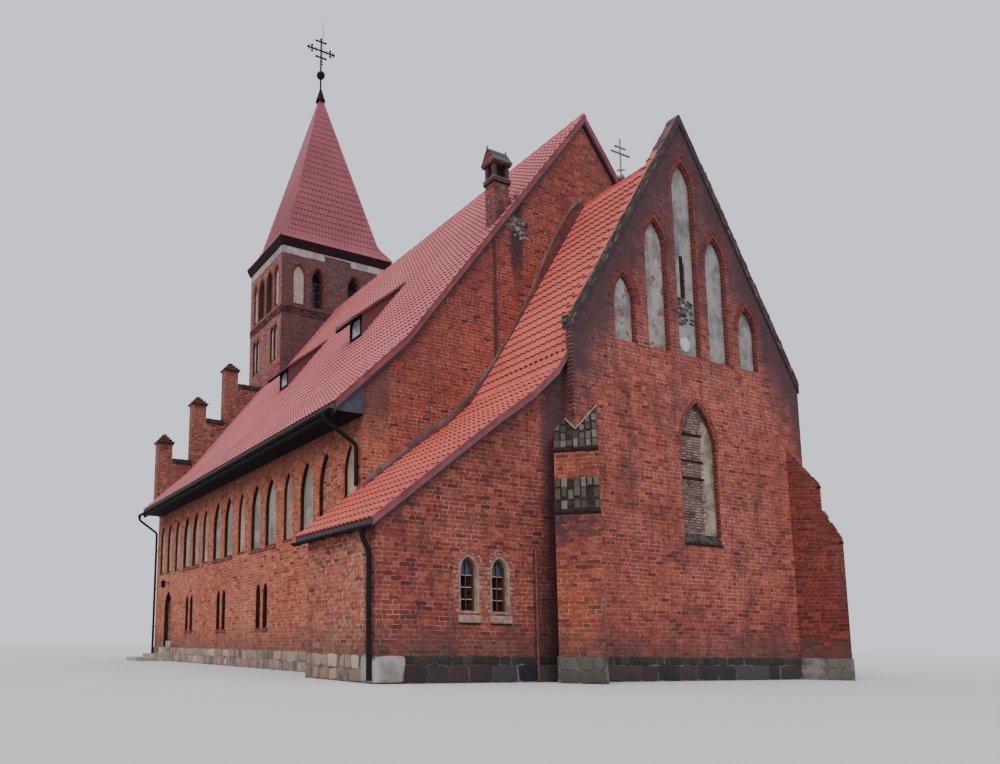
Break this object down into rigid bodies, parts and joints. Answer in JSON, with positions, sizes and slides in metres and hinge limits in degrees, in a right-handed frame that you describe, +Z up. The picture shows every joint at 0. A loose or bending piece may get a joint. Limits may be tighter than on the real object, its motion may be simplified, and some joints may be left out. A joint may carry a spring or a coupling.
{
  "type": "brick church building",
  "caption": "Red brick church with a west tower and spire, tiled nave and chancel, stepped and niched gables and a lean-to sacristy.",
  "frame": {"origin": "centre of the building's outline on the ground plane", "axes": "+X east towards the chancel, +Y north, +Z up"},
  "size_m": [25.0834, 18.375, 34.55],
  "materials": {
    "brick": "weathered red brick with pale mortar",
    "stone": "fieldstone and mortar",
    "roof_tile": "matt pink-red roof tile",
    "bright_tile": "matt orange-red pantile",
    "dormer_cladding": "dark maroon sheet",
    "dark_wood": "dark stained boards",
    "dark_metal": "dark brown paint",
    "glass": "clear"
  },
  "bodies": {
    "church": {"plinth_nave": "stone", "plinth_east": "stone", "nave_floor": "stone", "sacristy_floor": "stone", "south_wall_over_door": "brick", "south_wall_west": "brick", "south_wall": "brick", "north_wall": "brick", "nave_east_gable": "brick", "west_gable_south": "brick", "west_gable_north": "brick", "tower_shaft": "brick", "belfry_floor": "dark_wood", "tower_cornice": "dark_wood", "spire": "roof_tile", "spire_cross": "dark_metal", "nave_roof_south": "roof_tile", "nave_roof_north": "roof_tile", "eaves_south": "dark_wood", "eaves_north": "dark_wood", "dormer_east": "dormer_cladding", "dormer_east_glass": "glass", "dormer_west": "dormer_cladding", "dormer_west_glass": "glass", "chimney": "brick", "chancel_east_gable": "brick", "gable_coping": "brick", "chancel_north_wall": "brick", "chancel_south_wall": "brick", "chancel_roof_south": "bright_tile", "chancel_roof_north": "bright_tile", "ridge_cross": "dark_metal", "sacristy_east_wall": "brick", "sacristy_south_wall": "brick", "buttress_southeast": "brick", "buttress_northeast": "brick", "glass_slits_south": "glass", "glass_slits_north": "glass", "glass_sacristy": "glass", "glass_belfry": "glass", "door_frame": "dark_wood", "door_steps": "stone", "door_lamp": "dark_metal", "rainwater_south": "dark_metal", "rainwater_north": "dark_metal", "rainwater_sacristy": "dark_metal", "wall_pipe": "dark_metal"},
    "door": {"door_leaf": "dark_wood"}
  },
  "joints": [
    {"name": "door_hinge", "type": "hinge", "parent": "church", "child": "door", "pos_m": [-9.4837, -6.9582, 1.95], "axis": [0, 0, 1], "range_deg": [0, 90]}
  ]
}
